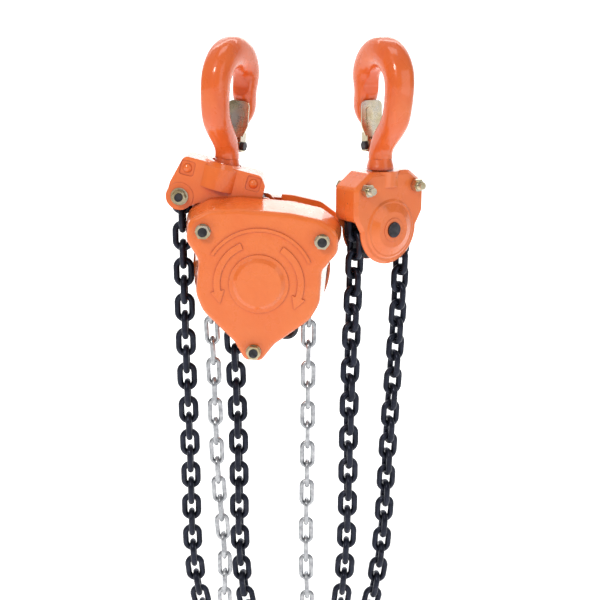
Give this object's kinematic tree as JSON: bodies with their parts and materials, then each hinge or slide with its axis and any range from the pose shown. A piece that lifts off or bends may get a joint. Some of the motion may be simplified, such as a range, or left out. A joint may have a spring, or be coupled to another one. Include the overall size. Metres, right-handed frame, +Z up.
{
  "type": "hand chain hoist",
  "caption": "Hand-operated chain hoist hung by its top hook, with a triangular wheel cover, load chain in falls to a bottom block and hook, endless hand chain and spring-latched hooks.",
  "frame": {"origin": "centre of the top hook's bowl", "axes": "+Z up along the hang, +X along the bar that both hooks hang on, the hand-wheel side faces -Y"},
  "size_m": [0.286, 0.137, 0.8046],
  "materials": {
    "orange_enamel": "glossy orange enamel over castings and pressings",
    "hook_enamel": "glossy orange enamel over forged steel",
    "black_plate": "satin black paint",
    "zinc_yellow": "yellow passivated zinc plating",
    "dark_steel": "blackened steel",
    "black_chain": "blue-black heat-treated chain steel",
    "zinc_chain": "galvanised chain steel",
    "machined_steel": "machined steel",
    "cast_iron": "dark cast iron",
    "friction_lining": "bonded friction lining"
  },
  "bodies": {
    "yoke": {"yoke_front_half": "orange_enamel", "yoke_rear_half": "orange_enamel", "yoke_rivets": "orange_enamel", "chain_anchor_pin": "dark_steel", "chain_anchor_washer": "zinc_yellow", "chain_anchor_nut": "zinc_yellow"},
    "top_hook": {"top_hook": "hook_enamel", "top_latch_bolt": "dark_steel", "top_hook_nut": "machined_steel", "top_hook_thrust_ring": "machined_steel"},
    "top_latch": {"top_hook_latch": "zinc_yellow"},
    "hoist_body": {"side_plate_front": "orange_enamel", "side_plate_rear": "orange_enamel", "sheave_bearing_front": "machined_steel", "sheave_bearing_rear": "machined_steel", "stay_bolts": "dark_steel", "hand_wheel_cover": "orange_enamel", "hand_wheel_cover_nuts": "zinc_yellow", "gear_case": "orange_enamel", "gear_case_nuts": "zinc_yellow", "hanger_pin": "dark_steel", "chain_stripper": "black_plate", "guide_roller_left_axle": "dark_steel", "guide_roller_right_axle": "dark_steel", "pawl_pins": "dark_steel", "brake_cover": "black_plate", "load_chain_on_load_sheave": "black_chain", "hand_chain_on_wheel": "zinc_chain"},
    "hand_wheel": {"hand_wheel": "cast_iron", "hand_wheel_nut": "machined_steel", "drive_shaft": "machined_steel", "brake_hub": "machined_steel", "friction_disc_inner": "friction_lining", "friction_disc_outer": "friction_lining"},
    "disc_gear_left": {"disc_gear_left": "machined_steel"},
    "disc_gear_right": {"disc_gear_right": "machined_steel"},
    "load_sheave": {"load_sheave": "cast_iron", "load_gear": "machined_steel"},
    "ratchet": {"ratchet_disc": "machined_steel"},
    "pawl_upper": {"pawl_upper": "machined_steel"},
    "pawl_lower": {"pawl_lower": "machined_steel"},
    "guide_roller_left": {"guide_roller_left": "machined_steel"},
    "guide_roller_right": {"guide_roller_right": "machined_steel"},
    "slack_end": {"load_chain_slack_end": "black_chain", "chain_end_ring": "dark_steel"},
    "outer_loop": {"load_chain_outer_loop": "black_chain"},
    "inner_loop": {"load_chain_inner_loop": "black_chain"},
    "hand_loop": {"hand_chain_loop": "zinc_chain"},
    "block": {"block_front_half": "orange_enamel", "block_rear_half": "orange_enamel", "block_bolts": "zinc_yellow", "idle_sheave_axle": "dark_steel", "load_chain_on_idle_sheave": "black_chain"},
    "bottom_hook": {"bottom_hook": "hook_enamel", "bottom_latch_bolt": "dark_steel", "bottom_hook_nut": "machined_steel", "bottom_hook_thrust_ring": "machined_steel"},
    "bottom_latch": {"bottom_hook_latch": "zinc_yellow"},
    "idle_sheave": {"idle_sheave": "cast_iron"}
  },
  "joints": [
    {"name": "top_hook_swivel", "type": "hinge", "parent": "yoke", "child": "top_hook", "pos_m": [-0.0069, 0, -0.08773], "axis": [0.0785, 0, 0.9969], "continuous": true},
    {"name": "top_latch_hinge", "type": "hinge", "parent": "top_hook", "child": "top_latch", "pos_m": [0.00264, 0.01631, -0.0634], "axis": [0.9035, -0.4226, -0.0711], "range_deg": [0, 35], "stiffness_Nm_per_rad": 0.06, "springref_deg": -20.05},
    {"name": "body_pivot", "type": "hinge", "parent": "yoke", "child": "hoist_body", "pos_m": [0.02866, 0, -0.12505], "axis": [0, 1, 0], "range_deg": [-4, 4]},
    {"name": "hand_wheel_spin", "type": "hinge", "parent": "hoist_body", "child": "hand_wheel", "pos_m": [0.0305, -0.0495, -0.2015], "axis": [0, 1, 0], "continuous": true, "deforming": ["hand_chain_on_wheel"]},
    {"name": "disc_gear_left_spin", "type": "hinge", "parent": "hoist_body", "child": "disc_gear_left", "pos_m": [-0.00935, 0.03, -0.19801], "axis": [0, 1, 0], "continuous": true},
    {"name": "disc_gear_right_spin", "type": "hinge", "parent": "hoist_body", "child": "disc_gear_right", "pos_m": [0.07035, 0.03, -0.20499], "axis": [0, 1, 0], "continuous": true},
    {"name": "load_sheave_spin", "type": "hinge", "parent": "hoist_body", "child": "load_sheave", "pos_m": [0.0305, 0, -0.2015], "axis": [0, 1, 0], "continuous": true, "deforming": ["load_chain_on_load_sheave"]},
    {"name": "ratchet_spin", "type": "hinge", "parent": "hoist_body", "child": "ratchet", "pos_m": [0.0305, -0.028, -0.2015], "axis": [0, 1, 0], "continuous": true},
    {"name": "pawl_upper_hinge", "type": "hinge", "parent": "hoist_body", "child": "pawl_upper", "pos_m": [-0.00002, -0.028, -0.17173], "axis": [0, 1, 0], "range_deg": [0, 12], "stiffness_Nm_per_rad": 0.02, "springref_deg": -11.46},
    {"name": "pawl_lower_hinge", "type": "hinge", "parent": "hoist_body", "child": "pawl_lower", "pos_m": [0.06102, -0.028, -0.23127], "axis": [0, 1, 0], "range_deg": [0, 12], "stiffness_Nm_per_rad": 0.02, "springref_deg": -11.46},
    {"name": "guide_roller_left_spin", "type": "hinge", "parent": "hoist_body", "child": "guide_roller_left", "pos_m": [-0.02471, 0, -0.21072], "axis": [0, 1, 0], "continuous": true},
    {"name": "guide_roller_right_spin", "type": "hinge", "parent": "hoist_body", "child": "guide_roller_right", "pos_m": [0.08427, 0, -0.22026], "axis": [0, 1, 0], "continuous": true},
    {"name": "slack_end_swing", "type": "hinge", "parent": "hoist_body", "child": "slack_end", "pos_m": [0.0647, 0, -0.214], "axis": [0, 1, 0], "range_deg": [-18, 0], "deforming": ["load_chain_slack_end"]},
    {"name": "outer_loop_swing", "type": "hinge", "parent": "yoke", "child": "outer_loop", "pos_m": [-0.05701, 0, -0.11451], "axis": [0.9856, 0.08, -0.1492], "range_deg": [-8, 8], "deforming": ["load_chain_outer_loop"]},
    {"name": "inner_loop_swing", "type": "hinge", "parent": "hoist_body", "child": "inner_loop", "pos_m": [-0.0037, 0, -0.2015], "axis": [0.9335, -0.135, 0.3323], "range_deg": [-8, 8], "deforming": ["load_chain_inner_loop"]},
    {"name": "hand_chain_swing", "type": "hinge", "parent": "hoist_body", "child": "hand_loop", "pos_m": [0.0305, -0.0495, -0.2015], "axis": [1, 0, 0], "range_deg": [-8, 8], "deforming": ["hand_chain_loop"]},
    {"name": "block_slide", "type": "slide", "parent": "yoke", "child": "block", "axis": [1, 0, 0], "range_m": [0, 0.03]},
    {"name": "bottom_hook_swivel", "type": "hinge", "parent": "block", "child": "bottom_hook", "pos_m": [0.163, 0, -0.088], "axis": [0, 0, 1], "continuous": true},
    {"name": "bottom_latch_hinge", "type": "hinge", "parent": "bottom_hook", "child": "bottom_latch", "pos_m": [0.15455, 0.01589, -0.063], "axis": [0.8829, 0.4695, 0], "range_deg": [0, 35], "stiffness_Nm_per_rad": 0.06, "springref_deg": -20.05},
    {"name": "idle_sheave_spin", "type": "hinge", "parent": "block", "child": "idle_sheave", "pos_m": [0.163, 0, -0.152], "axis": [-0.5878, 0.809, 0], "continuous": true, "deforming": ["load_chain_on_idle_sheave"]}
  ],
  "couplings": [
    {"joint": "disc_gear_left_spin", "follows": "hand_wheel_spin", "ratio": -0.21951},
    {"joint": "disc_gear_right_spin", "follows": "hand_wheel_spin", "ratio": -0.21951},
    {"joint": "load_sheave_spin", "follows": "hand_wheel_spin", "ratio": 0.063729}
  ]
}
